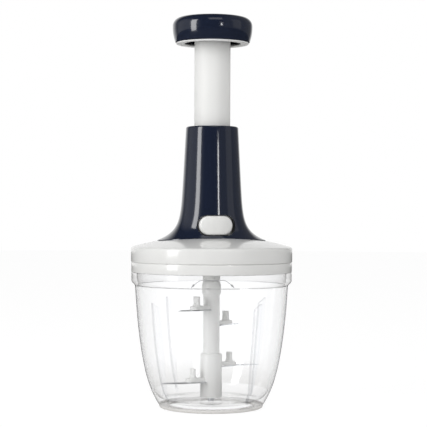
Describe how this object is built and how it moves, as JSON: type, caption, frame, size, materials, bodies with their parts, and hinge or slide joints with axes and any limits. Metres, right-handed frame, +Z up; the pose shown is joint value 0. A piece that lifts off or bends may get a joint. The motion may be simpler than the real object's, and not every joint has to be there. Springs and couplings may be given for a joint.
{
  "type": "plunger food chopper",
  "caption": "Hand food chopper: clear ribbed bowl, white domed lid, dark flared housing and a knobbed tube that is pushed down to spin a shaft of blades.",
  "frame": {"origin": "on the table under the middle of the foot", "axes": "+Z up along the plunger's axis, -Y towards the lock button at the front, +X to the right as the button is faced"},
  "size_m": [0.1252, 0.1252, 0.3039],
  "materials": {
    "clear_plastic": "clear polished plastic",
    "white_plastic": "glossy",
    "navy_plastic": "glossy",
    "shaft_plastic": "satin",
    "inner_plastic": "natural acetal",
    "dark_plastic": "filled nylon",
    "blade_steel": "fine ground, polished edge",
    "plain_steel": "bright zinc",
    "soft_foot": "translucent soft plastic",
    "seal_rubber": "translucent silicone"
  },
  "bodies": {
    "bowl": {"bowl": "clear_plastic", "foot_ring": "soft_foot", "pivot_pin": "plain_steel"},
    "seal": {"lid_seal": "seal_rubber"},
    "lid": {"lid_cover": "white_plastic", "lid_base": "white_plastic", "base_screws": "plain_steel", "shaft_seal": "seal_rubber", "thrust_washer": "plain_steel", "spindle_bush": "inner_plastic", "housing": "navy_plastic", "housing_screws": "plain_steel", "guide_bush": "inner_plastic"},
    "lock": {"lock_slider": "white_plastic", "lock_tongue": "plain_steel"},
    "plunger": {"plunger_tube": "white_plastic", "drive_nut": "dark_plastic", "nut_pins": "plain_steel", "knob_cap": "navy_plastic", "knob_ring": "white_plastic", "knob_screw": "plain_steel", "return_spring": "plain_steel"},
    "spindle": {"clutch_wheel": "inner_plastic", "drive_bar": "plain_steel", "spring_cap": "inner_plastic"},
    "driver": {"drive_cup": "shaft_plastic"},
    "blades": {"blade_shaft": "shaft_plastic", "lower_hub": "shaft_plastic", "hub_bush": "inner_plastic", "blade_1": "blade_steel", "blade_2": "blade_steel", "blade_3": "blade_steel", "blade_4": "blade_steel"}
  },
  "joints": [
    {"name": "lid_lift", "type": "slide", "parent": "bowl", "child": "seal", "axis": [0, 0, 1], "range_m": [0, 0.06]},
    {"name": "lid_turn", "type": "hinge", "parent": "seal", "child": "lid", "pos_m": [0, 0, 0.112], "axis": [0, 0, 1], "range_deg": [0, 16]},
    {"name": "lock_slide", "type": "slide", "parent": "lid", "child": "lock", "axis": [1, 0, 0], "range_m": [0, 0.0021]},
    {"name": "plunger_press", "type": "slide", "parent": "lid", "child": "plunger", "axis": [0, 0, -1], "range_m": [0, 0.06], "stiffness_N_per_m": 90, "springref_m": -0.05, "deforming": ["return_spring"]},
    {"name": "spindle_spin", "type": "hinge", "parent": "lid", "child": "spindle", "pos_m": [0, 0, 0.13], "axis": [0, 0, 1], "range_deg": [0, 540]},
    {"name": "driver_spin", "type": "hinge", "parent": "lid", "child": "driver", "pos_m": [0, 0, 0.11], "axis": [0, 0, 1], "range_deg": [0, 540]},
    {"name": "blade_spin", "type": "hinge", "parent": "bowl", "child": "blades", "pos_m": [0, 0, 0.0145], "axis": [0, 0, 1], "range_deg": [0, 540]}
  ],
  "couplings": [
    {"joint": "spindle_spin", "follows": "plunger_press", "rad_per_m": 157.08},
    {"joint": "driver_spin", "follows": "plunger_press", "rad_per_m": 157.08},
    {"joint": "blade_spin", "follows": "plunger_press", "rad_per_m": 157.08}
  ]
}
